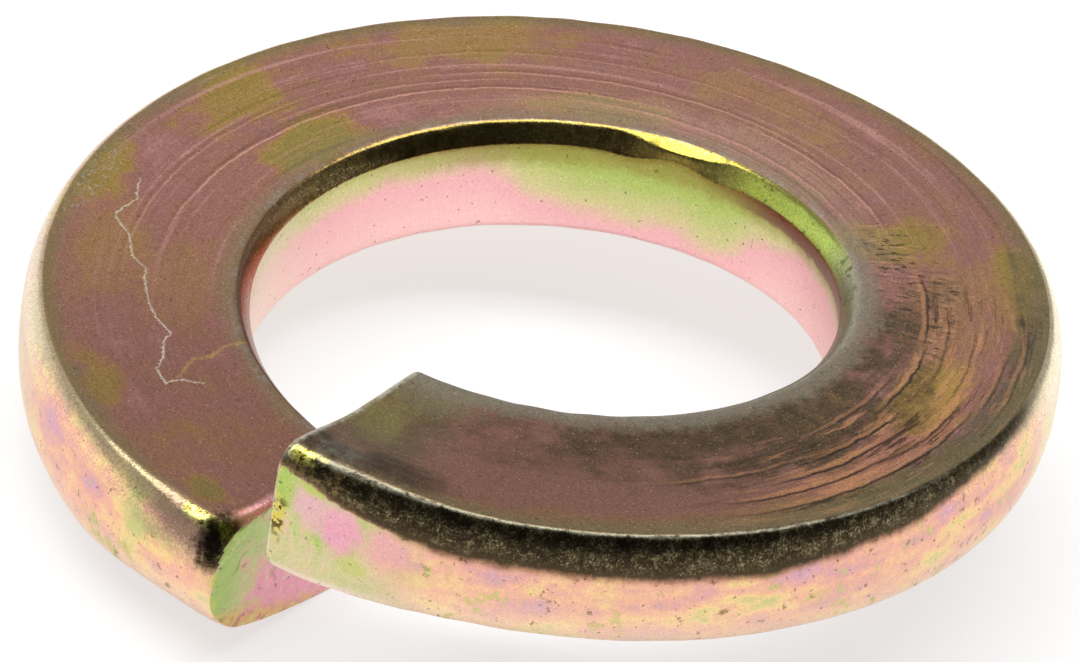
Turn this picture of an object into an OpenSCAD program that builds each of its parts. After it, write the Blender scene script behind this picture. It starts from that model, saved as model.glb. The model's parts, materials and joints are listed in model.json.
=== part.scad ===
// Spring lock washer: one turn of flat wire with a rounded rim, wound as a left-hand
// spring and sheared through, so that its two ends stand apart in height and bite.
// The bolt's axis is Z, the middle of the hole is the origin, and the slit faces -Y.

/* [Bolt hole] */
// Diameter of the hole for the bolt
hole_d = 10.2; // [8:0.1:12]
// Size of the rounding round the top of the hole
top_mouth = 0.4; // [0.15:0.05:0.6]
// Size of the rounding round the bottom of the hole
bottom_mouth = 0.22; // [0.1:0.02:0.6]

/* [Wire] */
// Outside diameter of the ring, across the fullest part of its rim
outside_d = 18.1; // [16:0.1:24]
// Thickness of the wire between its top and bottom faces
wire_t = 2.2; // [1.6:0.1:3.2]
// Depth by which the rim rounds back to the faces
rim_depth = 0.5; // [0.2:0.05:0.9]

/* [Spring] */
// Height that the ring climbs in its one turn, before it is tightened down
climb = 2.2; // [1:0.1:4]
// Width of the slit between the two sheared ends
slit_w = 0.95; // [0.4:0.05:2]
// Distance by which the middle of the slit misses the bolt's axis
slit_off = 0.7; // [0:0.05:1.5]

/* [Sheared ends] */
// Length of rim that the shear pressed flat beside the raised end
flat_len = 2.2; // [1:0.1:4]
// Depth of the rim's rounding left on that flat
flat_depth = 0.14; // [0.08:0.02:0.3]
// Distance by which the flat lies inside the rim's full radius
flat_inset = 0.12; // [0:0.02:0.3]
// Height by which the raised end's outer corner stands proud, above and below
flare_h = 0.14; // [0:0.01:0.3]
// Depth of the rim's rounding at the lower end, which the shear bulged
bulge_depth = 0.68; // [0.3:0.02:0.9]
// Depth by which the lower end's inner corner hangs below the wire
lip_h = 0.6; // [0:0.05:0.9]
// Length of wire over which that corner comes down
lip_len = 3; // [1:0.1:5]
// Radius to which the shear drew over the lower end's upper edge
draw_r = 0.3; // [0.1:0.02:0.5]
// Radius of the edge round the raised end
end_r = 0.1; // [0.05:0.01:0.3]

/* [Hidden] */

// Radius of the hole, of the rim, and halfway between them
hole_r = hole_d / 2;
rim_r = outside_d / 2;
mid_r = (hole_r + rim_r) / 2;
// Half the wire's thickness
half_t = wire_t / 2;
// The wire is wound with this much to spare inside, and the hole is cut from it
spare = 0.4;
// The mouth's rounding stops this far short of the hole's wall
wall_step = 0.02;
// Where the two cuts cross the X axis, the lower end's first
cut_low = slit_off - slit_w / 2;
cut_high = slit_off + slit_w / 2;
// Bearing of the slit from the bolt's axis
slit_bearing = 270;
// Share of an end's rounding that its bottom edge gets, and its edge beside the hole
low_below = 0.1;
high_below = 0.5;
beside_hole = 0.3;
// Least length of wire between an end's rounding and the next section
edge_gap = 0.1;
// Steps round the wire's section: on the rim, on each mouth and on each face
rim_steps = 14;
mouth_steps = 4;
face_steps = 5;
// Steps along the turn: on each end's rounding, over the degrees beside it, and between
edge_steps = 3;
end_steps = 9;
end_zone = 26;
turn_steps = 96;
// Smoothness of the hole where it is drawn as facets
hole_fn = 180;

// Rises from 0 to 1 without a kink as t goes from 0 to 1
function ease(t) = let (c = min(1, max(0, t))) c * c * (3 - 2 * c);

// Goes from a to b as k goes from 0 to 1
function blend(a, b, k) = a + (b - a) * k;

// The same list from its other end
function reversed(list) = [for (i = [len(list) - 1 : -1 : 0]) list[i]];

// Length of wire that an angle of turn takes, and the angle that a length takes at a radius
function wire_len(turn) = turn * PI / 180 * mid_r;
function turn_of(length, r) = length / r * 180 / PI;

// Half section from the top face round the rim to the bottom face
function rim_line(full_r, depth) =
    [for (i = [0 : rim_steps])
        let (a = 90 - 180 * i / rim_steps)
        [full_r - depth * (1 - cos(a)), half_t * sin(a)]];

// Rounding of this size from the bottom face up to the wall of the hole
function mouth_line(size) =
    [for (i = [0 : mouth_steps])
        let (a = 90 * i / mouth_steps)
        [hole_r + size - (size - wall_step) * sin(a), -half_t + size * (1 - cos(a))]];

// Points across a face between two radii, without its two ends
function face_line(r1, r2, z) =
    [for (i = [1 : face_steps - 1]) [blend(r1, r2, i / face_steps), z]];

// A line mirrored in the wire's middle plane, and so run in the other direction
function upside_down(line) = [for (p = reversed(line)) [p.x, -p.y]];

// Whole section of the wire as [radius, height], from the top of the rim round to the top face
function section(full_r, depth) =
    let (inside = hole_r - spare, edge_r = full_r - depth)
    concat(
        rim_line(full_r, depth),
        face_line(edge_r, hole_r + bottom_mouth, -half_t),
        mouth_line(bottom_mouth),
        [[inside, bottom_mouth - half_t], [inside, half_t - top_mouth]],
        upside_down(mouth_line(top_mouth)),
        face_line(hole_r + top_mouth, edge_r, half_t)
    );

// How far out a radius lies: 0 at the wall of the hole and 1 at the edge of the faces
function outward(r) = min(1, (max(r, hole_r) - hole_r) / (rim_r - rim_depth - hole_r));

// A section's point after the shear moved it, low and high being 1 at those ends: the lower
// end hangs more the nearer it is to the hole, and the raised end spreads near the rim
function sheared(p, low, high) =
    let (
        upper = (p.y + half_t) / wire_t,
        hang = lip_h * low * (1 - outward(p.x)) * (1 - upper),
        spread = flare_h * high * ease(2 * outward(p.x) - 1)
    )
    [p.x, p.y - hang + spread * (2 * upper - 1)];

// A section's point drawn in at a cut, fully at the top and in this share at the bottom.
// Near the hole only its height changes, because the hole is cut afterwards.
function drawn_in(p, inset, below) =
    let (
        upper = ease((p.y + half_t) / wire_t),
        amount = inset * blend(below, 1, upper),
        outer = ease((p.x - mid_r) / (rim_r - mid_r))
    )
    [p.x - amount * outer, p.y * (1 - amount * blend(beside_hole, 1, outward(p.x)) / half_t)];

// A section in space: its vertical plane points outwards at this bearing and passes the
// bolt's axis at a distance, so that the two end sections lie in the planes of the cuts
function placed(line, turn, shift) =
    let (
        bearing = slit_bearing - turn,
        miss = blend(cut_low, cut_high, turn / 360) + shift,
        rise = climb * (turn / 360 - 0.5)
    )
    [for (p = line)
        let (out = sqrt(p.x * p.x - miss * miss))
        [
            out * cos(bearing) - miss * sin(bearing),
            out * sin(bearing) + miss * cos(bearing),
            p.y + rise
        ]];

// One section of the ring at an angle of turn from the lower end. In an end's rounding it
// is shifted off the cut and drawn in by inset, and by this share of inset below.
function ring_at(turn, shift = 0, inset = 0, below = 1) =
    let (
        low = ease(1 - wire_len(turn) / lip_len),
        high = ease(1 - wire_len(360 - turn) / flat_len),
        full_r = rim_r - flat_inset * high,
        depth = blend(blend(rim_depth, bulge_depth, low), flat_depth, high),
        line = [for (p = section(full_r, depth)) drawn_in(sheared(p, low, high), inset, below)]
    )
    placed(line, turn, shift);

// The quarter rounding on the end at this turn, from its cut inwards, where side points
function end_rings(turn, radius, side, below) =
    [for (i = [0 : edge_steps])
        let (a = 90 * i / edge_steps)
        ring_at(turn, side * radius * (1 - cos(a)), radius * (1 - sin(a)), below)];

// Turns of the sections beside an end, from where its rounding is over
function near_end(radius) =
    let (start = turn_of(radius + edge_gap, hole_r - spare))
    [for (i = [0 : end_steps]) blend(start, end_zone, i / end_steps)];

turns = concat(
    near_end(draw_r),
    [for (i = [1 : turn_steps - 1]) blend(end_zone, 360 - end_zone, i / turn_steps)],
    [for (turn = reversed(near_end(end_r))) 360 - turn]
);

rings = concat(
    end_rings(0, draw_r, -1, low_below),
    [for (turn = turns) ring_at(turn)],
    reversed(end_rings(360, end_r, 1, high_below))
);

// Skin over a row of closed sections, with a flat face over each end
module skin(rows) {
    count = len(rows[0]);
    last = len(rows) - 1;
    sides = [for (j = [0 : last - 1], i = [0 : count - 1])
        let (k = (i + 1) % count)
        each [
            [j * count + i, j * count + k, (j + 1) * count + i],
            [(j + 1) * count + i, j * count + k, (j + 1) * count + k]
        ]];
    first_cap = [for (i = [count - 1 : -1 : 0]) i];
    last_cap = [for (i = [0 : count - 1]) last * count + i];
    polyhedron([for (row = rows) each row], concat(sides, [first_cap, last_cap]), convexity = 6);
}

// The wound and sheared wire, with the bolt hole cut true through its inside
module lock_washer() {
    hole_h = 2 * (climb + wire_t + lip_h);
    color([0.62, 0.45, 0.38])
    difference() {
        skin(rings);
        translate([0, 0, -hole_h / 2])
        cylinder(h = hole_h, r = hole_r, $fn = hole_fn);
    }
}

lock_washer();
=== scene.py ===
import json
import math

import bpy
import numpy as np
from mathutils import Matrix, Vector, noise


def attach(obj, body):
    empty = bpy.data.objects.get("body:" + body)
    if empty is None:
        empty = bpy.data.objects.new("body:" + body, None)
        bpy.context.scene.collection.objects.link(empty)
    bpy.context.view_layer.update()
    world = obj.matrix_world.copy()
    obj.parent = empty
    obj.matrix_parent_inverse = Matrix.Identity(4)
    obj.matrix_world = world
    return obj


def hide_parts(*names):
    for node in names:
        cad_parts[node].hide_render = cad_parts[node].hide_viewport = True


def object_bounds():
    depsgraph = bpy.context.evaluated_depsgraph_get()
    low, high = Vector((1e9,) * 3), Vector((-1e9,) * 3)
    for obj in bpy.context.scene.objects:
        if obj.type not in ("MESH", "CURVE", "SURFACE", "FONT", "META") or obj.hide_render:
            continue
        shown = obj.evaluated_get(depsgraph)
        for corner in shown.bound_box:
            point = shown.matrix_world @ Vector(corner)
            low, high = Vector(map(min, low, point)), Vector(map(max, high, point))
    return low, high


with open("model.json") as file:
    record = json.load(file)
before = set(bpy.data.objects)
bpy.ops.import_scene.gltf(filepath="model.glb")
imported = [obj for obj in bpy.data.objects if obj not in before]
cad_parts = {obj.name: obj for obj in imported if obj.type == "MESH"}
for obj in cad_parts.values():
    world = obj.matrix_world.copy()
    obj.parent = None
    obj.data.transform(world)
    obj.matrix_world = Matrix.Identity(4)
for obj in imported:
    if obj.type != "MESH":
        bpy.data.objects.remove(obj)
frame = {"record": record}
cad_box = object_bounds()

# Camera: a long lens on a stand to one side of the slit, looking down at the washer by
# about a third of a right angle. It leans a little, as the photograph does.
MM = 0.001
camera_bearing = math.radians(305)
camera_height = math.radians(34.0)
camera_lean = math.radians(7.82)
camera_distance = 184.0
picture_span = 18.81
sensor_width = 36
aim_right = -0.025
aim_up = -0.012

back = Vector((
    math.cos(camera_bearing) * math.cos(camera_height),
    math.sin(camera_bearing) * math.cos(camera_height),
    math.sin(camera_height),
))
level = Vector((-math.sin(camera_bearing), math.cos(camera_bearing), 0))
upright = back.cross(level)
right = level * math.cos(camera_lean) + upright * math.sin(camera_lean)
top = upright * math.cos(camera_lean) - level * math.sin(camera_lean)
stand = (back * camera_distance + level * aim_right + upright * aim_up) * MM
lens = bpy.data.cameras.new("camera")
lens.sensor_width = sensor_width
lens.lens = sensor_width * camera_distance / picture_span
lens.clip_start = 0.01
lens.clip_end = 20
camera = bpy.data.objects.new("camera", lens)
camera.matrix_world = Matrix.Translation(stand) @ Matrix((right, top, back)).transposed().to_4x4()
bpy.context.collection.objects.link(camera)
bpy.context.scene.camera = camera


# Washer: one turn of spring-steel wire, rolled flat with a rounded rim, wound round a
# mandrel and sheared off. The shear pressed the raised end's rim flat, drew the lower
# end's upper edge over and left its inner corner hanging.
hole_r = frame["record"]["mounts"][0]["dims"]["r_mm"]
rim_r = 9.05
mid_r = (hole_r + rim_r) / 2
half_t = 1.1
climb = 2.2
rim_depth = 0.34
rim_height = 1.0
bulge_above = 0.3
bulge_below = 0.7
bulge_taller = 0.1
bevel = 0.42
flat_below_depth = 0.16
flat_below_height = 0.3
mouth_depth = 0.3
foot_size = 0.22
cut_low = 0.225
cut_high = 1.175
low_reach = 3.0
high_reach = 3.4
flat_inset = 0.12
hang = 0.57
hang_beyond = 0.45
flare = 0.14
valley = 0.08
high_radius = 0.15
wave_depth = 0.014
knock_depth = 0.012
turn_steps = 720
corner_points = 18
rim_points = 44
face_points = 36
under_points = 14
mouth_points = 14
wall_points = 8
foot_points = 8


def ease(t):
    """Rises from 0 to 1 without a kink as t goes from 0 to 1."""
    t = np.clip(t, 0, 1)
    return t * t * (3 - 2 * t)


def hump(t, middle, width):
    """A smooth hill of height 1 that is gone at this width from its middle."""
    return ease(1 - np.abs(t - middle) / width)


section_points = rim_points + under_points + foot_points + wall_points + mouth_points + face_points
bpy.ops.object.select_all(action="DESELECT")
bpy.ops.mesh.primitive_circle_add(
    vertices=section_points, radius=half_t * MM, rotation=(math.pi / 2, 0, 0),
)
washer = bpy.context.object
washer.name = "washer"
bpy.ops.object.transform_apply(rotation=True)
for corner in washer.data.vertices:
    corner.co.x += mid_r * MM
winding = washer.modifiers.new("winding", "SCREW")
winding.axis = "Z"
winding.angle = -2 * math.pi
winding.screw_offset = climb * MM
winding.steps = turn_steps
winding.render_steps = turn_steps
bpy.ops.object.modifier_apply(modifier="winding")

# Turn from the lower end, closer spaced beside the ends, where the steel is more shaped
share = np.linspace(0, 1, turn_steps + 1)[:, None]
turn = 360 * (share - 0.75 * np.sin(2 * np.pi * share) / (2 * np.pi))
from_low = np.radians(turn) * mid_r
from_high = np.radians(360 - turn) * mid_r
low = ease(1 - from_low / low_reach)
high = ease(1 - from_high / high_reach)

# Rim: a corner rounded over a depth and a height above and one below, and a little of the
# full radius between them. Beside the raised end it is pressed flat with a bevel above it,
# and at the lower end it bulges high and is cut back below.
full_r = rim_r - flat_inset * high
upper_depth = rim_depth + bulge_above * low
upper_depth = upper_depth + (bevel - upper_depth) * high
upper_height = rim_height + (bevel - rim_height) * high
lower_depth = rim_depth + bulge_below * low
lower_depth = lower_depth + (flat_below_depth - lower_depth) * high
lower_height = rim_height + bulge_taller * low
lower_height = lower_height + (flat_below_height - lower_height) * high
swept = np.radians(90) * (1 - np.linspace(0, 1, corner_points, endpoint=False) ** 1.3)
upper_r = full_r - upper_depth * (1 - np.cos(swept))
upper_z = half_t - upper_height * (1 - np.sin(swept))
step = np.linspace(0, 1, rim_points - 2 * corner_points)
full_z = (half_t - upper_height) * (1 - step) + (lower_height - half_t) * step
swept = swept[::-1]
lower_r = full_r - lower_depth * (1 - np.cos(swept))
lower_z = lower_height * (1 - np.sin(swept)) - half_t
rim_line_r = np.concatenate([upper_r, full_r + 0 * full_z, lower_r], axis=1)
rim_line_z = np.concatenate([upper_z, full_z, lower_z], axis=1)

# Underside and the small rounding that leads from it to the hole
step = np.linspace(0, 1, under_points + 1, endpoint=False)[1:]
under_r = (full_r - lower_depth) * (1 - step) + (hole_r + foot_size) * step
under_z = -half_t + 0 * under_r
round_foot = np.radians(np.linspace(0, 90, foot_points, endpoint=False))
foot_r = hole_r + foot_size * (1 - np.sin(round_foot)) + 0 * turn
foot_z = foot_size * (1 - np.cos(round_foot)) - half_t + 0 * turn

# Mouth: a hollow-ground chamfer more than a rounding, knocked flatter for a stretch at the back
step = np.linspace(0, 1, mouth_points)
flatter = hump(turn, 175, 18)
steep = 22 + 24 * step + 26 * ease((step - 0.78) / 0.2)
flat_above = 12 + 50 * ease((step - 0.85 + 0.5 * flatter) / 0.15)
lean = np.radians(steep + flatter * (flat_above - steep))
along_r = np.cumsum(np.sin(lean), axis=1)
along_z = np.cumsum(np.cos(lean), axis=1)
grown = mouth_depth / (along_r[:, -1:] - along_r[:, :1])
mouth_r = hole_r + grown * (along_r - along_r[:, :1])
mouth_z = half_t - grown * (along_z[:, -1:] - along_z)

# Wall of the hole, from the foot's rounding up to the mouth
step = np.linspace(0, 1, wall_points, endpoint=False)
wall_r = np.full((turn_steps + 1, wall_points), hole_r)
wall_z = (foot_size - half_t) * (1 - step) + mouth_z[:, :1] * step

# Top face, out to the rim
step = np.linspace(0, 1, face_points + 1)[1:]
face_r = (hole_r + mouth_depth) * (1 - step) + (full_r - upper_depth) * step
face_z = half_t + 0 * face_r
face_r, face_z = face_r[:, :-1], face_z[:, :-1]
face_r = np.concatenate([face_r, (face_r[:, -1:] + full_r - upper_depth) / 2], axis=1)
face_z = np.concatenate([face_z, face_z[:, -1:]], axis=1)

r = np.concatenate([rim_line_r, under_r, foot_r, wall_r, mouth_r, face_r], axis=1)
z = np.concatenate([rim_line_z, under_z, foot_z, wall_z, mouth_z, face_z], axis=1)

# How each point faces in the clean section: outwards and upwards
next_r, next_z = np.roll(r, -1, axis=1), np.roll(z, -1, axis=1)
last_r, last_z = np.roll(r, 1, axis=1), np.roll(z, 1, axis=1)
faces_out, faces_up = last_z - next_z, next_r - last_r
reach = np.hypot(faces_out, faces_up)
faces_out, faces_up = faces_out / reach, faces_up / reach

# Rolling and handling: the wire waves a little, its edges are knocked, and the rolls left
# shallow rings on the top face that drift inwards along the wire
wave = np.zeros_like(r)
knock = np.zeros_like(r)
groove = np.zeros_like(r)
for j in range(turn_steps + 1):
    way = math.radians(turn[j, 0])
    east, north = math.cos(way), math.sin(way)
    for i in range(section_points):
        rr, zz = r[j, i], z[j, i]
        wave[j, i] = noise.noise(Vector((east * rr, north * rr, zz + 9)) * 0.35)
        knock[j, i] = noise.noise(Vector((east * rr, north * rr, zz + 3)) * 1.7)
        drift = rr + 0.0042 * (turn[j, 0] - 130)
        groove[j, i] = noise.noise(Vector((drift * 3.4, turn[j, 0] * 0.02, 4)))
face_share = ease((faces_up - 0.9) / 0.1)
edge_share = ease(1 - np.abs(np.abs(faces_up) - 0.8) / 0.2)
grooved = hump(turn, 140, 110) + 0.8 * hump(turn, 262, 60)
push = wave_depth * wave + knock_depth * knock * (0.35 + edge_share)
push = push + knock_depth * groove * grooved * face_share
r = r + push * faces_out * (np.abs(r - hole_r) > 0.001)
z = z + push * faces_up

# Shear: the lower end's inner corner hangs, and the raised end's outer corner spreads, with
# a valley beside it and a hump where the wire was gripped
upper = (z + half_t) / (2 * half_t)
outward = np.clip((r - hole_r) / (rim_r - rim_depth - hole_r), 0, 1)
z = z - (hang + hang_beyond * outward) * (1 - outward) * low * (1 - upper)
z = z + flare * high * ease(2 * outward - 1) * (2 * upper - 1)
z = z - valley * hump(from_high, 0.7, 1.5) * hump(outward, 0.5, 0.42) * ease(upper)

# Edges of the cuts, drawn over by the shear, the lower end's most at its outer corner
outer = ease((r - mid_r) / (rim_r - mid_r))
low_radius = 0.16 + 0.3 * ease((outward - 0.6) / 0.4)
for away, radius, below in ((from_low, low_radius, 0.1), (from_high, high_radius, 0.4)):
    inset = radius * (1 - np.sqrt(1 - np.clip(1 - away / radius, 0, 1) ** 2))
    amount = inset * (below + (1 - below) * ease(upper) ** 2)
    r = r - amount * outer
    z = z * (1 - amount * (0.35 + 0.65 * outward) / half_t)

# Each section stands in a plane that misses the axis, so that both cuts are parallel
bearing = np.radians(270 - turn)
miss = cut_low + (cut_high - cut_low) * turn / 360
out = np.sqrt(r * r - miss * miss)
wound = np.stack([
    out * np.cos(bearing) - miss * np.sin(bearing),
    out * np.sin(bearing) + miss * np.cos(bearing),
    z + climb * (turn / 360 - 0.5),
], axis=-1)
washer.data.vertices.foreach_set("co", (wound * MM).ravel())
lie = np.stack([turn + 0 * r, faces_out, faces_up], axis=-1)
marks = washer.data.attributes.new("lie", "FLOAT_VECTOR", "POINT")
marks.data.foreach_set("vector", lie.astype(np.float32).ravel())

# The two cut faces close the wire, a little crowned where the steel tore
bpy.ops.object.mode_set(mode="EDIT")
bpy.ops.mesh.select_mode(type="EDGE")
bpy.ops.mesh.select_all(action="DESELECT")
bpy.ops.mesh.select_non_manifold()
bpy.ops.mesh.edge_face_add()
bpy.ops.mesh.select_mode(type="FACE")
for way, middle in ((1, wound[0].mean(axis=0)), (-1, wound[-1].mean(axis=0))):
    bpy.ops.mesh.select_all(action="DESELECT")
    bpy.ops.object.mode_set(mode="OBJECT")
    caps = [side for side in washer.data.polygons if len(side.vertices) > 4]
    caps.sort(key=lambda side: abs(side.center.x - middle[0] * MM))
    caps[0].select = True
    bpy.ops.object.mode_set(mode="EDIT")
    for smaller, swell in ((0.95, 0.014), (0.87, 0.012), (0.75, 0.01), (0.7, 0.006)):
        bpy.ops.mesh.extrude_region()
        bpy.ops.transform.resize(value=(1, smaller, smaller), center_override=Vector(middle) * MM)
        bpy.ops.transform.translate(value=(way * swell * MM, 0, 0))
bpy.ops.mesh.select_all(action="SELECT")
bpy.ops.mesh.normals_make_consistent(inside=False)
bpy.ops.object.mode_set(mode="OBJECT")
bpy.ops.object.shade_smooth_by_angle(angle=math.radians(40))


class Flow:
    """A socket of a node tree. Arithmetic on sockets adds the Math nodes that do it."""

    def __init__(self, tree, socket=None):
        self.tree = tree
        self.socket = socket

    def node(self, kind, settings, feeds, out=0):
        made = self.tree.nodes.new(kind)
        for name, value in settings.items():
            if name == "stops":
                while len(made.color_ramp.elements) < len(value):
                    made.color_ramp.elements.new(1.0)
                for stop, (place, tone) in zip(made.color_ramp.elements, value):
                    stop.position = place
                    stop.color = tone
            else:
                setattr(made, name, value)
        for key, value in feeds.items():
            if isinstance(value, Flow):
                self.tree.links.new(value.socket, made.inputs[key])
            else:
                made.inputs[key].default_value = value
        return Flow(self.tree, made.outputs[out]) if made.outputs else None

    def maths(self, operation, *values):
        return self.node("ShaderNodeMath", {"operation": operation}, dict(enumerate(values)))

    def vector(self, operation, feeds, out=0):
        return self.node("ShaderNodeVectorMath", {"operation": operation}, feeds, out)

    def __add__(self, other):
        return self.maths("ADD", self, other)

    def __sub__(self, other):
        return self.maths("SUBTRACT", self, other)

    def __rsub__(self, other):
        return self.maths("SUBTRACT", other, self)

    def __mul__(self, other):
        return self.maths("MULTIPLY", self, other)

    def __truediv__(self, other):
        return self.maths("DIVIDE", self, other)

    __radd__ = __add__
    __rmul__ = __mul__

    def rises(self, low, high):
        """0 below low, 1 above high and smooth between; falls instead where high is the lower."""
        return self.node("ShaderNodeMapRange", {"interpolation_type": "SMOOTHSTEP"},
                         {0: self, 1: low, 2: high, 3: 0.0, 4: 1.0})

    def parts(self):
        """The three numbers of this vector."""
        split = self.node("ShaderNodeSeparateXYZ", {}, {0: self}).socket.node
        return [Flow(self.tree, split.outputs[k]) for k in range(3)]

    def with_parts(self, x, y, z):
        return self.node("ShaderNodeCombineXYZ", {}, {0: x, 1: y, 2: z})

    def grain(self, scale, detail=2.0, rough=0.5):
        """Cloudy noise over this position, mostly between 0.3 and 0.7."""
        return self.node("ShaderNodeTexNoise", {}, {
            "Vector": self, "Scale": scale, "Detail": detail, "Roughness": rough,
        })

    def toned(self, *stops):
        """The colour for this number on a scale of colours."""
        return self.node("ShaderNodeValToRGB", {"stops": stops}, {0: self})

    def painted(self, tone, mask):
        """This colour with another over it where the mask is 1."""
        return self.node("ShaderNodeMix", {"data_type": "RGBA"}, {0: mask, 6: self, 7: tone}, out=2)

    def toward(self, other, mask):
        """This number, or the other where the mask is 1."""
        return self + (other - self) * mask


def ink(red, green, blue):
    """A colour as seen on screen, 0 to 255, turned to the linear one that Blender mixes."""
    seen = [c / 255 for c in (red, green, blue)]
    return tuple(c / 12.92 if c < 0.04045 else ((c + 0.055) / 1.055) ** 2.4 for c in seen) + (1.0,)


# Plating: zinc under a yellow chromate film, whose thickness tints it olive, gold, mauve or
# pink. It is darker on the roundings, where it pooled and where painted shade stands for the
# dark side they mirror, and handling scuffed the edges.
plating = bpy.data.materials.new("plating")
plating.use_nodes = True
plating.node_tree.nodes.clear()
flow = Flow(plating.node_tree)
spot = flow.vector("SCALE", {0: flow.node("ShaderNodeTexCoord", {}, {}, "Object"), "Scale": 1 / MM})
x, y, height = spot.parts()
lie_here = flow.node("ShaderNodeAttribute", {"attribute_name": "lie"}, {}, "Vector")
lengthwise, outer_side, upper_side = lie_here.parts()
inward = 0.0 - outer_side
radius = flow.maths("SQRT", x * x + y * y)
level_in_wire = height - (lengthwise / 360 - 0.5) * climb
wide_cloud = spot.grain(0.3, 3.0, 0.5)
cloud = spot.grain(1.1, 3.0, 0.55)
mottle = spot.grain(3.4, 4.0, 0.65)
speck = spot.grain(8.0, 3.0, 0.6)
dust = spot.grain(26.0, 2.0, 0.6)
drift = radius + (lengthwise - 140) * 0.005
streak = flow.with_parts(drift * 5.0, lengthwise * 0.012, 0.0).grain(1.0, 5.0, 0.66)
# Marks are placed by the turn with a little wander in it, patterns by the plain turn
around = lengthwise + (streak - 0.5) * 0.4


def blotch(turned, out_at, half_turn, half_width, ragged=1.0):
    """A patch of this size on the wire, its edge broken up by the film's own cloud."""
    along = (around - turned) / half_turn
    across = (radius - out_at) / half_width
    edge = (cloud - 0.5) * (2 * ragged) + (streak - 0.5) * 0.9 + (mottle - 0.5) * 0.8
    return (flow.maths("SQRT", along * along + across * across) + edge).rises(1.5, 0.5)


def spot_on_rim(turned, level, half_turn, half_level):
    """A patch of this size on the rim, placed by its height in the wire."""
    along = (around - turned) / half_turn
    across = (level_in_wire - level) / half_level
    edge = (cloud - 0.5) * 1.4 + (mottle - 0.5) * 1.2
    return (flow.maths("SQRT", along * along + across * across) + edge).rises(1.5, 0.5)


# Film over the top face, from 0 for olive to 1 for pink
film = 0.7 + (wide_cloud - 0.5) * 0.8 + (cloud - 0.5) * 0.9 + (streak - 0.5) * 0.8 + (mottle - 0.5) * 0.4
for turned, out_at, half_turn, half_width, value in (
    (30, 8.2, 6, 0.4, 0.1),
    (52, 6.4, 9, 0.7, 0.45),
    (62, 7.6, 9, 0.5, 0.35),
    (99, 7.9, 9, 0.85, 0.14),
    (134, 8.0, 15, 0.8, 0.24),
    (102, 6.1, 11, 0.55, 0.02),
    (156, 5.95, 12, 0.4, 0.05),
    (176, 7.6, 12, 0.5, 0.4),
    (222, 6.2, 7, 1.0, 0.1),
    (232, 8.2, 12, 0.45, 0.12),
    (266, 7.3, 8, 0.6, 0.1),
    (250, 7.2, 22, 0.9, 0.42),
    (287, 6.0, 22, 0.8, 0.3),
    (8, 8.1, 3.5, 0.3, 0.0),
    (76, 8.35, 8, 0.4, 0.15),
    (305, 8.45, 30, 0.3, 0.05),
):
    film = film.toward(value, blotch(turned, out_at, half_turn, half_width) * 0.85)
film = film.toward(0.15, radius.rises(8.35, 8.65) * 0.4)
face = film.toned(
    (0.0, ink(154, 148, 88)), (0.2, ink(182, 152, 78)), (0.4, ink(188, 142, 100)),
    (0.6, ink(182, 131, 111)), (0.8, ink(180, 127, 117)), (1.0, ink(196, 142, 132)),
)
face = face.painted(ink(136, 96, 82), around.rises(80, 20) * 0.4)
face = face.painted(ink(212, 172, 150), blotch(180, 5.9, 42, 0.5) * 0.45)

# Rings that the rolls left, which drift inwards along the wire: painted pink highlights on top, painted
# shade beside
ringed = around.rises(40, 80) * around.rises(240, 205)
face = face.painted(ink(232, 176, 160), streak.rises(0.55, 0.66) * ringed * 0.55)
face = face.painted(ink(120, 82, 66), streak.rises(0.44, 0.34) * ringed * 0.45)


def lines(across, half_width, *marks):
    """Lines along the wire where this distance across it has the value that each mark gives."""
    drawn = None
    for turned, half_turn, at, bold in marks:
        lasts = flow.maths("ABSOLUTE", around - turned).rises(half_turn, half_turn * 0.4) * bold
        line = flow.maths("ABSOLUTE", across - at).rises(half_width, half_width * 0.2) * lasts
        drawn = line if drawn is None else flow.maths("MAXIMUM", drawn, line)
    return drawn


wavy = drift + (mottle - 0.5) * 0.06 + (cloud - 0.5) * 0.1
ring_marks = (
    (116, 66, 6.37, 1.0),
    (120, 26, 6.64, 0.6),
    (160, 42, 6.86, 0.8),
    (198, 26, 6.69, 0.9),
    (186, 38, 6.1, 0.7),
    (190, 30, 5.86, 0.6),
    (150, 60, 7.5, 0.35),
    (84, 34, 6.95, 0.5),
)
ring_highlights = lines(wavy, 0.034, *ring_marks)
ring_shades = lines(wavy - 0.075, 0.04, *ring_marks)
# Painted pink highlights along the ring lines and painted shade beside them
face = face.painted(ink(244, 184, 162), ring_highlights * (0.2 + (mottle + streak) * 0.55))
face = face.painted(ink(112, 74, 60), ring_shades * (0.1 + mottle * 0.6))

# Front of the face: darker by painted shade, rippled across by the rolls, dirty inside and
# scored in terraces, with painted highlights and shade on ripples, terraces and steps
face = face.painted(ink(150, 110, 92), around.rises(270, 305) * 0.75)
ripple = flow.with_parts(radius * 3.6, lengthwise * 1.0, 7.0).grain(1.0, 2.0, 0.6)
rippled = flow.maths("MAXIMUM", blotch(236, 6.2, 20, 0.5), blotch(247, 6.85, 16, 0.32))
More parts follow.
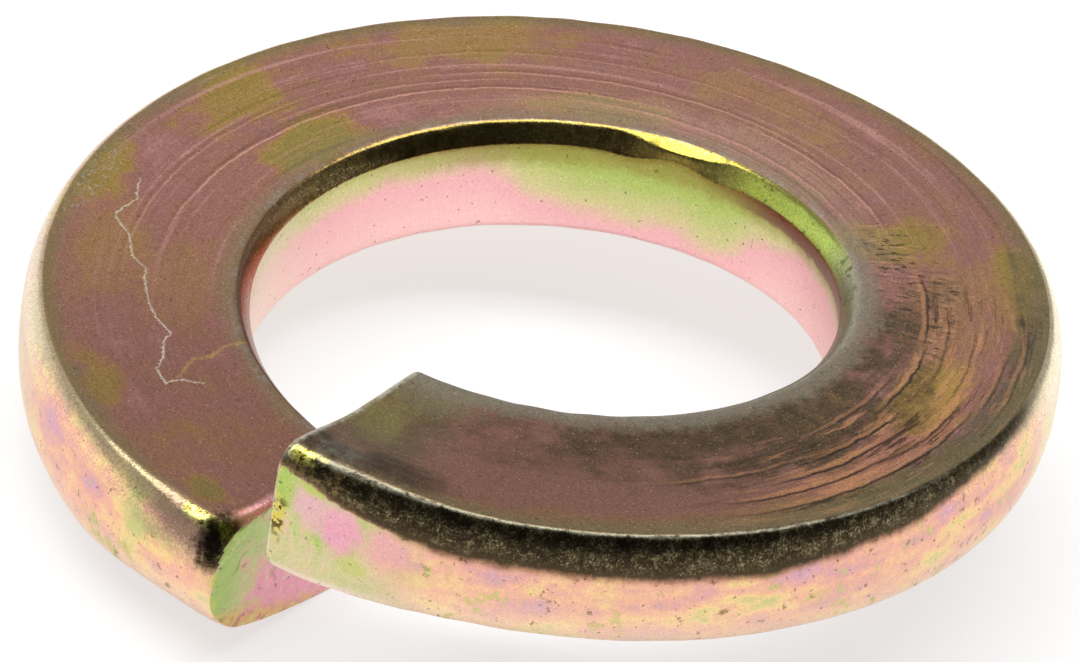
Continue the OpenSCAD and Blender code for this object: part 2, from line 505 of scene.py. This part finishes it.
# Painted highlight on the ripples' crests and painted shade in their troughs
face = face.painted(ink(236, 176, 134), ripple.rises(0.56, 0.66) * rippled * 0.75)
face = face.painted(ink(84, 66, 46), ripple.rises(0.46, 0.38) * rippled * 0.85)
face = face.painted(ink(214, 178, 80), blotch(266, 7.35, 10, 0.5) * 0.75)
face = face.painted(ink(214, 150, 108), blotch(279, 7.7, 18, 0.6) * 0.4)
dirt = flow.maths("MAXIMUM", blotch(290, 6.05, 46, 0.95, 1.3), blotch(288, 6.9, 22, 0.7, 1.3))
face = face.painted(ink(86, 72, 50), dirt * (0.6 + (mottle + speck).rises(0.8, 1.15) * 0.35))
face = face.painted(ink(168, 146, 112), dirt * (dust + speck).rises(1.12, 1.3) * 0.6)
face = face.painted(ink(112, 106, 80), blotch(262, 8.45, 34, 0.34) * 0.75)
scored = around.rises(226, 246) * around.rises(318, 292) * radius.rises(6.2, 6.8)
terrace = flow.with_parts((radius - lengthwise * 0.0065) * 4.6, lengthwise * 0.06, 5.0)
terrace = terrace.grain(1.0, 5.0, 0.72)
# Painted highlights on the terraces and painted shade between them
face = face.painted(ink(240, 172, 124), terrace.rises(0.53, 0.62) * scored * 0.6)
face = face.painted(ink(70, 50, 34), terrace.rises(0.45, 0.37) * scored * 0.8)
torn_way = radius - (around - 262) * 0.0065 + (mottle - 0.5) * 0.1 + (cloud - 0.5) * 0.14
step_marks = (
    (242, 13, 6.72, 0.9),
    (264, 12, 6.78, 1.0),
    (252, 14, 7.12, 0.5),
    (281, 13, 7.08, 1.0),
    (255, 12, 7.6, 0.5),
    (287, 15, 7.4, 1.0),
    (272, 12, 7.82, 0.9),
    (294, 16, 7.72, 0.9),
    (256, 9, 8.2, 0.6),
    (284, 26, 8.08, 0.9),
    (252, 14, 8.5, 0.7),
    (300, 20, 7.0, 0.5),
    (276, 16, 6.5, 0.7),
)
step_shade = lines(torn_way, 0.04, *step_marks)
step_highlight = lines(torn_way + 0.075, 0.06, *step_marks)
# Painted highlight beside each torn step and painted shade along its edge
face = face.painted(ink(232, 168, 116), step_highlight * (0.1 + terrace * 0.9))
face = face.painted(ink(52, 40, 28), step_shade * (0.1 + (mottle + terrace) * 0.75))
carved = (streak - 0.5) * 0.6 + ripple * rippled + terrace * scored * 0.7

# Beside the raised end: painted shade in the valley along the rim's ridge, an olive hump, a worn edge and a
# painted grey sheen by the corner
nearing = around.rises(338, 350)
face = face.painted(ink(104, 94, 66), nearing * blotch(354, 7.0, 11, 1.3) * 0.7)
face = face.painted(ink(166, 156, 96), nearing * blotch(357, 6.9, 5, 0.7) * 0.6)
face = face.painted(ink(152, 146, 112), nearing * blotch(352, 5.6, 12, 0.6) * 0.7)
# Painted shade in the valley beside the rim's ridge at the raised end
valley_shade = around.rises(334, 348) * blotch(351, 8.3, 10, 0.34, 1.5)
face = face.painted(ink(70, 60, 46), valley_shade * (0.3 + mottle * 0.9))
face = face.painted(ink(168, 130, 108), around.rises(330, 350) * streak.rises(0.56, 0.64) * 0.35)
# Painted sheen: grey near the raised end's outer corner
grey_sheen = around.rises(349, 355) * radius.rises(7.9, 8.3) * (cloud + mottle).rises(0.8, 1.1)
face = face.painted(ink(150, 148, 132), grey_sheen * 0.7)

# Worn edges of the face, grey beside the hole and olive beside the rim
worn = radius + (cloud - 0.5) * 0.5 + (mottle - 0.5) * 0.4 + (speck - 0.5) * 0.4
face = face.painted(ink(158, 146, 112), worn.rises(5.85, 5.5) * around.rises(225, 195) * 0.5)
face = face.painted(ink(164, 154, 134), worn.rises(5.95, 5.5) * around.rises(195, 240) * 0.85)
face = face.painted(ink(176, 172, 156), worn.rises(5.6, 5.48) * (mottle + cloud).rises(0.95, 1.15) * 0.5)
face = face.painted(ink(142, 130, 94), worn.rises(8.3, 8.72) * 0.7)
face = face.painted(ink(190, 186, 170), blotch(74, 8.45, 9, 0.2) * (speck + dust).rises(1.05, 1.2) * 0.6)

# Rim: salmon, gold and pink, with an olive-black band of painted shade round its upper edge in front
along_rim = flow.with_parts(lengthwise * 0.11, level_in_wire * 1.6, 1.0).grain(1.0, 3.0, 0.55)
rim_film = 0.5 + (wide_cloud - 0.5) * 0.8 + (along_rim - 0.5) * 2.4 + (mottle - 0.5) * 0.9
rim = rim_film.toned(
    (0.0, ink(206, 202, 134)), (0.25, ink(246, 212, 150)), (0.5, ink(244, 188, 158)),
    (0.75, ink(232, 174, 164)), (1.0, ink(220, 170, 184)),
)
# Painted reflection: the rim's lower part paler, where it mirrors the white floor
rim = rim.painted(ink(255, 230, 200), upper_side.rises(0.1, -0.5) * 0.6)
rim = rim.painted(ink(206, 204, 120), (mottle + cloud).rises(1.12, 1.22) * upper_side.rises(0.4, 0.1) * 0.7)
rim = rim.painted(ink(150, 128, 66), (speck + mottle).rises(1.16, 1.28) * 0.7)
dulled = (level_in_wire + (mottle - 0.5) * 0.5).rises(0.7, 1.05)
dulled = dulled * (0.9 - around.rises(40, 75) * around.rises(250, 225) * 0.4)
rim = rim.painted(ink(184, 168, 132), dulled)
paled = around.rises(30, 48) * around.rises(90, 75) * upper_side.rises(0.85, 0.6)
rim = rim.painted(ink(232, 216, 188), paled * 0.7)
reaches = 0.95 - around.rises(258, 306) * 0.57 + around.rises(340, 366) * 0.62
band = level_in_wire - reaches + (cloud - 0.5) * 0.2 + (mottle - 0.5) * 0.08 + (speck - 0.5) * 0.12
in_front = around.rises(250, 266)
rim = rim.painted(ink(182, 134, 100), band.rises(-0.16, -0.02) * around.rises(262, 280) * 0.7)
# Painted shade: the olive film on the front rounding darkened to olive-black, standing for the dark side it
# mirrors
rim = rim.painted(ink(64, 56, 38), band.rises(-0.09, 0.07) * in_front * 0.95)
painted_band_shade = ((speck + mottle + dust) / 3).toned(
    (0.45, ink(56, 48, 34)), (0.52, ink(82, 73, 52)), (0.6, ink(146, 132, 98)),
)
rim = rim.painted(painted_band_shade, band.rises(0.0, 0.3) * in_front * 0.85)
browned = band.rises(-0.02, 0.1) * (around + (mottle - 0.5) * 8).rises(348, 355)
rim = rim.painted(ink(150, 128, 82), browned * (speck + mottle).rises(0.9, 1.1) * 0.6)
ridge = upper_side.rises(0.7, 0.84) * around.rises(270, 290)
rim = rim.painted(ink(150, 146, 126), ridge * (mottle + speck).rises(0.7, 1.05) * 0.9)
gilded = (around + (speck - 0.5) * 5).rises(354.4, 356.4)
gilded = gilded * (upper_side + (mottle - 0.5) * 0.5).rises(0.55, 0.75)
gilding = ((speck + mottle + dust) / 3).toned(
    (0.45, ink(84, 72, 28)), (0.5, ink(206, 196, 78)), (0.56, ink(240, 234, 140)),
)
rim = rim.painted(gilding, gilded * 0.9)

# The flat that the shear pressed beside the raised end, green at its edges and pink within
flat = flow.with_parts(lengthwise * 0.5, level_in_wire * 1.6, 3.0).grain(1.0, 4.0, 0.55)
flat_tone = (flat + (mottle - 0.5) * 0.3).toned(
    (0.38, ink(176, 204, 104)), (0.5, ink(202, 210, 136)), (0.62, ink(224, 200, 160)),
)
flat_tone = flat_tone.painted(ink(220, 204, 168), level_in_wire.rises(-0.25, -0.6) * 0.6)
for turned, level, half_turn, half_level, tone in (
    (353.4, 0.25, 3.4, 0.4, ink(228, 184, 188)),
    (355.8, 0.45, 1.8, 0.3, ink(228, 182, 188)),
    (351.0, 0.12, 2.6, 0.42, ink(238, 164, 190)),
    (345.4, 0.0, 2.6, 0.4, ink(238, 170, 180)),
    (358.4, 0.5, 1.4, 0.4, ink(168, 202, 90)),
    (354.4, 0.72, 2.2, 0.14, ink(186, 206, 88)),
    (349.2, -0.5, 1.5, 0.16, ink(196, 204, 120)),
):
    flat_tone = flat_tone.painted(tone, spot_on_rim(turned, level, half_turn, half_level) * 0.85)
rim = rim.painted(flat_tone, around.rises(339, 349) * band.rises(0.0, -0.05) * 0.9)
# Painted highlight: a cream line along the flat's lower edge, where it mirrors the white floor
rim = rim.painted(ink(255, 232, 214), around.rises(340, 352) * upper_side.rises(-0.2, -0.5) * 0.8)
nicked = spot_on_rim(358.9, -0.12, 1.1, 0.42) * around.rises(356.4, 358.2)
rim = rim.painted(ink(226, 204, 84), nicked * (speck + dust).rises(0.92, 1.0) * 0.9)
rim = rim.painted(ink(92, 60, 34), nicked * (speck + mottle).rises(1.0, 0.93) * 0.9)

# Rim beside the lower end: brown, with a yellow glint along its upper edge
smudged = around.rises(18, 5) * (level_in_wire + (mottle - 0.5) * 0.9).rises(0.1, 0.6)
rim = rim.painted(ink(150, 126, 104), smudged * 0.75)
glint = (around + (speck - 0.5) * 4).rises(7.5, 5.5) * upper_side.rises(0.62, 0.8)
rim = rim.painted((speck + dust).toned((0.9, ink(150, 136, 60)), (1.0, ink(238, 232, 130))), glint * 0.9)
on_rim = outer_side.rises(0.22, 0.42)

# Mouth of the hole: dark where it meets the wall, gold and green at the back
mouth = (around / 360).toned(
    (0.1, ink(140, 104, 84)), (0.2, ink(160, 120, 90)), (0.3, ink(172, 146, 84)),
    (0.46, ink(180, 160, 78)), (0.54, ink(192, 204, 92)), (0.61, ink(200, 222, 112)),
    (0.65, ink(160, 158, 132)), (0.78, ink(112, 106, 98)),
)
pooled = around.rises(80, 100) * around.rises(196, 184)
pool = ((speck + mottle) * 0.5).toned((0.42, ink(76, 66, 40)), (0.56, ink(132, 118, 70)))
mouth = mouth.painted(pool, pooled * upper_side.rises(0.86, 0.7) * 0.8)
mouth = mouth.painted(ink(128, 84, 64), upper_side.rises(0.46, 0.36) * around.rises(184, 200) * 0.9)
shaded = around.rises(182, 190) * around.rises(232, 216)
shaded = shaded * (upper_side + (cloud - 0.5) * 0.3).rises(0.58, 0.74)
mouth = mouth.painted(ink(122, 112, 62), shaded * 0.8)
mouth = mouth.painted(ink(196, 96, 62), around.rises(84, 66) * upper_side.rises(0.6, 0.4) * 0.6)
golden = around.rises(160, 170) * around.rises(192, 184)
golden = golden * (upper_side + (cloud - 0.5) * 0.2).rises(0.62, 0.84)
mouth = mouth.painted(ink(226, 200, 84), golden * 0.9)
mouth = mouth.painted(ink(84, 74, 46), (speck + cloud + mottle).rises(1.62, 1.76) * 0.6)
scratched = (streak + dust).rises(1.14, 1.22) * around.rises(200, 160)
mouth = mouth.painted(ink(206, 198, 168), scratched * 0.5)

# Wall of the hole, green at the back and pink or cream round the rest, with a painted
# cream highlight toward the lower end
wall_film = (cloud - 0.5) * 0.35 - level_in_wire * 0.5
wall_film = wall_film - around.rises(130, 160) * around.rises(212, 184) * 0.45 + 0.66
wall = wall_film.toned(
    (0.12, ink(180, 196, 108)), (0.42, ink(214, 204, 148)), (0.62, ink(244, 184, 186)),
    (1.0, ink(252, 200, 196)),
)
# Painted highlight: the wall nearly cream toward the lower end
wall = wall.painted(ink(255, 232, 204), around.rises(100, 70) * 0.6)
top_of_wall = (level_in_wire + (mottle - 0.5) * 0.35).rises(0.15, 0.55)
wall = wall.painted(ink(150, 138, 66), top_of_wall * around.rises(100, 140) * 0.75)
dark_lip = (level_in_wire + (mottle - 0.5) * 0.12).rises(0.4, 0.52) * around.rises(180, 205)
wall = wall.painted(ink(128, 84, 70), dark_lip * 0.95)
on_wall = inward.rises(0.965, 0.995)
on_wall = flow.maths("MAXIMUM", on_wall, inward.rises(0.2, 0.4) * upper_side.rises(0.1, -0.1))
hole = mouth.painted(wall, on_wall)
in_hole = flow.maths("MAXIMUM", on_wall, inward.rises(0.25, 0.45) * upper_side.rises(-0.1, 0.1))

# Far rim, which catches the light at a glance
glance = ink(255, 240, 202)
far_rim = outer_side.rises(0.05, 0.28) * around.rises(150, 190) * around.rises(262, 248)
rim = rim.painted(glance, far_rim * 0.85)
face = face.painted(glance, far_rim * 0.85)

# Edges of the two ends: the raised one worn to grey, with a painted cream highlight down its
# end, the lower one glinting pink, its outer corner painted olive-black as shade where it was
# drawn over, with gold flecks
# Painted shade: the drawn-over outer corner darkened to olive-black, with flecks of gold film
corner = (around + (mottle - 0.5) * 6 + (speck - 0.5) * 4 - level_in_wire * 1.6).rises(2.4, 0.6)
corner = corner * radius.rises(8.1, 8.35) * (level_in_wire + (mottle - 0.5) * 0.4).rises(0.15, 0.4)
flecks_and_shade = ((speck + mottle) * 0.5).toned(
    (0.46, ink(36, 30, 20)), (0.54, ink(62, 54, 32)), (0.62, ink(150, 136, 78)),
)
rim = rim.painted(flecks_and_shade, corner * 0.9)
face = face.painted(flecks_and_shade, corner * 0.9)
worn_grey = ink(204, 198, 178)
end_edge = (around + (speck - 0.5) * 1.2).rises(358.4, 359.2)
end_edge = end_edge * upper_side.rises(0.4, 0.7) * (mottle.rises(0.4, 0.55) * 0.6 + 0.3)
rim = rim.painted(worn_grey, end_edge)
face = face.painted(worn_grey, end_edge)
# Painted highlight: a cream line down the raised end's rounded edge
rim = rim.painted(ink(250, 240, 212), around.rises(359.4, 359.8) * upper_side.rises(0.5, 0.2) * 0.7)
pink_edge = around.rises(1.9, 1.0) * upper_side.rises(0.6, 0.8) * radius.rises(8.3, 7.9)
face = face.painted(ink(240, 176, 176), pink_edge * 0.8)

# Meandering crack in the film, and a faint vein beside it
trail = (
    (-7.35, -2.33), (-7.11, -2.68), (-6.99, -2.81), (-6.97, -3.44), (-6.40, -3.69), (-5.93, -4.11),
    (-5.55, -4.21), (-5.35, -4.46), (-4.92, -4.87), (-4.47, -5.14), (-4.03, -5.27), (-3.97, -5.55),
    (-3.68, -5.85), (-3.54, -6.21), (-3.15, -6.40), (-3.08, -6.14), (-2.72, -5.89),
)
vein = ((-3.13, -6.29), (-3.16, -6.02), (-3.29, -5.53), (-3.13, -5.17), (-3.17, -4.78), (-2.96, -4.41))
on_plan = flow.with_parts(x + (speck - 0.5) * 0.14, y + (dust - 0.5) * 0.14, 0.0)


def away_from(line):
    """Distance on plan from a line of straight stretches."""
    nearest = None
    for (ax, ay), (bx, by) in zip(line, line[1:]):
        length = math.hypot(bx - ax, by - ay)
        from_start = on_plan.vector("SUBTRACT", {0: on_plan, 1: (ax, ay, 0.0)})
        stretch = ((bx - ax) / length ** 2, (by - ay) / length ** 2, 0.0)
        share_along = from_start.vector("DOT_PRODUCT", {0: from_start, 1: stretch}, "Value")
        share_along = flow.node("ShaderNodeClamp", {}, {0: share_along})
        foot = flow.vector("SCALE", {0: (bx - ax, by - ay, 0.0), "Scale": share_along})
        gap = flow.vector("DISTANCE", {0: from_start, 1: foot}, "Value")
        nearest = gap if nearest is None else flow.maths("MINIMUM", nearest, gap)
    return nearest


on_top = upper_side.rises(0.8, 0.95)
crack = away_from(trail).rises(0.026, 0.008) * on_top
veined = (away_from(vein) + (mottle - 0.5) * 0.1).rises(0.07, 0.0) * on_top
face = face.painted(ink(208, 170, 104), veined * 0.6)
face = face.painted(ink(236, 224, 206), crack * (0.35 + speck * 0.9))

# Specks of dirt and bare metal, and the grain of the plating. Face, rim and hole are each a
# metal of their own, laid beside each other.
mark_depth = 0.014 * MM
smoother = flow.maths("MAXIMUM", on_wall, outer_side.rises(0.5, 0.8) * upper_side.rises(0.25, 0.1))
gritty = ((speck - 0.5) * 0.4 + (dust - 0.5) * 1.2) * (1.0 - smoother * 0.6)
relief = mottle * 0.6 + speck * 0.4 + dust * 0.16
polished = inward.rises(0.2, 0.5) * around.rises(230, 200) * 0.14
rubbed = outer_side.rises(0.15, 0.35) * upper_side.rises(0.05, 0.3) * (1.0 - in_front * 0.7)
polished = polished + rubbed * 0.14


def plated(tone, height_of_marks):
    """Bare plating of this colour, with specks and grain, and with marks this high in it."""
    tone = tone.painted(ink(70, 54, 42), speck.rises(0.64, 0.72) * 0.55)
    tone = tone.painted(ink(240, 226, 200), dust.rises(0.67, 0.76) * 0.4)
    return flow.node("ShaderNodeBsdfPrincipled", {}, {
        "Base Color": tone.vector("SCALE", {0: tone, "Scale": gritty + 1.0}),
        "Metallic": 1.0,
        "Roughness": (0.3 + cloud * 0.16) - polished,
        "Normal": flow.node("ShaderNodeBump", {}, {
            "Strength": 1.0, "Distance": mark_depth, "Height": height_of_marks,
        }),
    })


surface = flow.node("ShaderNodeMixShader", {}, {
    0: on_rim, 1: plated(face, relief + carved * on_top), 2: plated(rim, relief),
})
surface = flow.node("ShaderNodeMixShader", {}, {0: in_hole, 1: surface, 2: plated(hole, relief)})
surface.node("ShaderNodeOutputMaterial", {}, {"Surface": surface})
washer.data.materials.append(plating)


# Cut faces: the shear tore them in curved ridges, and the plating over those is green, tan
# and pink. They are told from the rest of the washer by lying square to X beside the cuts.
ridge_depth = 0.03 * MM
cap_reach = 0.06 * MM
sheared = bpy.data.materials.new("sheared_face")
sheared.use_nodes = True
sheared.node_tree.nodes.clear()
torn = Flow(sheared.node_tree)
place = torn.vector("SCALE", {0: torn.node("ShaderNodeTexCoord", {}, {}, "Object"), "Scale": 1 / MM})
px, py, pz = place.parts()
tint = place.grain(1.3, 5.0, 0.62)
patchy = place.grain(4.5, 3.0, 0.6)
grit = place.grain(20.0, 2.0, 0.6)
ridge_way = torn.with_parts(0.0, (py * 1.5 - pz * 2.4) + tint * 2.2, py * 0.35 + pz * 0.2)
ridges = ridge_way.grain(1.7, 4.0, 0.6)
cut_film = (tint - 0.5) * 1.5 + (patchy - 0.5) * 0.9 + (py + 7.8) * 0.42 - (pz + 1.3) * 0.2 + 0.5
cut = cut_film.toned(
    (0.1, ink(178, 200, 118)), (0.35, ink(190, 202, 138)), (0.55, ink(214, 192, 150)),
    (0.75, ink(238, 168, 182)),
)
low_rim = (pz + (py + 8.2) * 0.32 + (patchy - 0.5) * 0.8).rises(-1.75, -2.1)
low_tone = patchy.toned(
    (0.35, ink(212, 196, 92)), (0.5, ink(232, 178, 120)), (0.65, ink(160, 124, 76)),
)
cut = cut.painted(low_tone, low_rim * 0.85)
cut = cut.painted(ink(216, 206, 96), (py + (patchy - 0.5) * 0.6).rises(-8.75, -9.0) * 0.6)
cut = cut.painted(ink(126, 122, 62), ridges.rises(0.6, 0.7) * 0.45)
cut = cut.painted(ink(234, 226, 190), ridges.rises(0.42, 0.34) * 0.35)
cut = cut.painted(ink(104, 82, 52), (patchy + grit).rises(1.16, 1.26) * 0.6)
cut = cut.painted(ink(246, 222, 180), (patchy + grit).rises(0.84, 0.76) * 0.5)
cut = cut.vector("SCALE", {0: cut, "Scale": 1.0 + (grit - 0.5) * 0.5})
cut_relief = ridges * 1.0 + patchy * 0.5 + grit * 0.25
cut_normal = torn.node("ShaderNodeBump", {}, {
    "Strength": 1.0, "Distance": ridge_depth, "Height": cut_relief,
})
cut_surface = torn.node("ShaderNodeBsdfPrincipled", {}, {
    "Base Color": cut,
    "Metallic": 1.0,
    "Roughness": 0.36,
    "Normal": cut_normal,
})
cut_surface.node("ShaderNodeOutputMaterial", {}, {"Surface": cut_surface})
washer.data.materials.append(sheared)
for side in washer.data.polygons:
    nearest_cut = min(abs(side.center.x - cut_low * MM), abs(side.center.x - cut_high * MM))
    if side.center.y < 0 and nearest_cut < cap_reach and abs(side.normal.x) > 0.9:
        side.material_index = 1

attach(washer, "root")
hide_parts("lock_washer")


# Floor: a sheet of matt white card, big enough that its edges are never seen.
floor_size = 4.0
card_white = 0.9
card_seen = 0.55
card_glow = 0.66
bpy.ops.object.select_all(action="DESELECT")
bpy.ops.mesh.primitive_plane_add(size=floor_size, location=(0, 0, cad_box[0][2]))
floor = bpy.context.object
floor.name = "floor"
card = bpy.data.materials.new("white_card")
card.use_nodes = True
card.node_tree.nodes.clear()
paper = Flow(card.node_tree)
matt = paper.node("ShaderNodeBsdfDiffuse", {}, {"Color": (card_seen, card_seen, card_seen, 1.0)})
glow = paper.node("ShaderNodeEmission", {}, {"Color": (1.0, 1.0, 1.0, 1.0), "Strength": card_glow})
both = paper.node("ShaderNodeAddShader", {}, {0: matt, 1: glow})
seen = paper.node("ShaderNodeLightPath", {}, {}, "Is Camera Ray")
shiny = paper.node("ShaderNodeLightPath", {}, {}, "Is Glossy Ray")
full_white = paper.node("ShaderNodeBsdfDiffuse", {}, {"Color": (card_white, card_white, card_white, 1.0)})
mirrored_or_seen = seen.maths("MAXIMUM", seen, shiny)
sheet = paper.node("ShaderNodeMixShader", {}, {0: mirrored_or_seen, 1: full_white, 2: both})
paper.node("ShaderNodeOutputMaterial", {}, {"Surface": sheet})
floor.data.materials.append(card)


# Light: a white tent with a soft strip overhead, brighter to the left. Behind and over the
# camera it is open and dark, which the rounded edges mirror as dark bands.
strip_strength = 3.6
dark_share = 0.84
world = bpy.data.worlds.new("tent")
bpy.context.scene.world = world
world.use_nodes = True
world.node_tree.nodes.clear()
tent = Flow(world.node_tree)
away = tent.node("ShaderNodeTexCoord", {}, {}, "Generated")
far = (-math.cos(camera_bearing), -math.sin(camera_bearing), 0.0)
beside = (-math.sin(camera_bearing), math.cos(camera_bearing), 0.0)
ahead = tent.vector("DOT_PRODUCT", {0: away, 1: far}, "Value")
sideways = tent.vector("DOT_PRODUCT", {0: away, 1: beside}, "Value")
aloft = tent.vector("DOT_PRODUCT", {0: away, 1: (0.0, 0.0, 1.0)}, "Value")
swing = tent.maths("ARCTAN2", aloft, ahead) * (180 / math.pi)
cloth = 0.36 + 0.5 * sideways.rises(0.3, -0.3) + 0.4 * sideways.rises(0.86, 0.97)
cloth = cloth * (1.15 - swing.rises(20, 50) * 0.4)
strip = swing.rises(72, 78) * swing.rises(98, 92)
strip = strip * sideways.rises(-0.74, -0.62) * sideways.rises(0.66, 0.52)
dark = swing.rises(97, 106) * sideways.rises(-0.78, -0.6) * sideways.rises(0.97, 0.86)
glowing = cloth * (1 - dark * dark_share) + strip * strip_strength
camera_sees = tent.node("ShaderNodeLightPath", {}, {}, "Is Camera Ray")
strength = glowing + (1.0 - glowing) * camera_sees
tent.node("ShaderNodeOutputWorld", {}, {
    "Surface": tent.node("ShaderNodeBackground", {}, {"Color": (1.0, 1.0, 1.0, 1.0), "Strength": strength})
})

bpy.context.scene.view_settings.view_transform = "Standard"
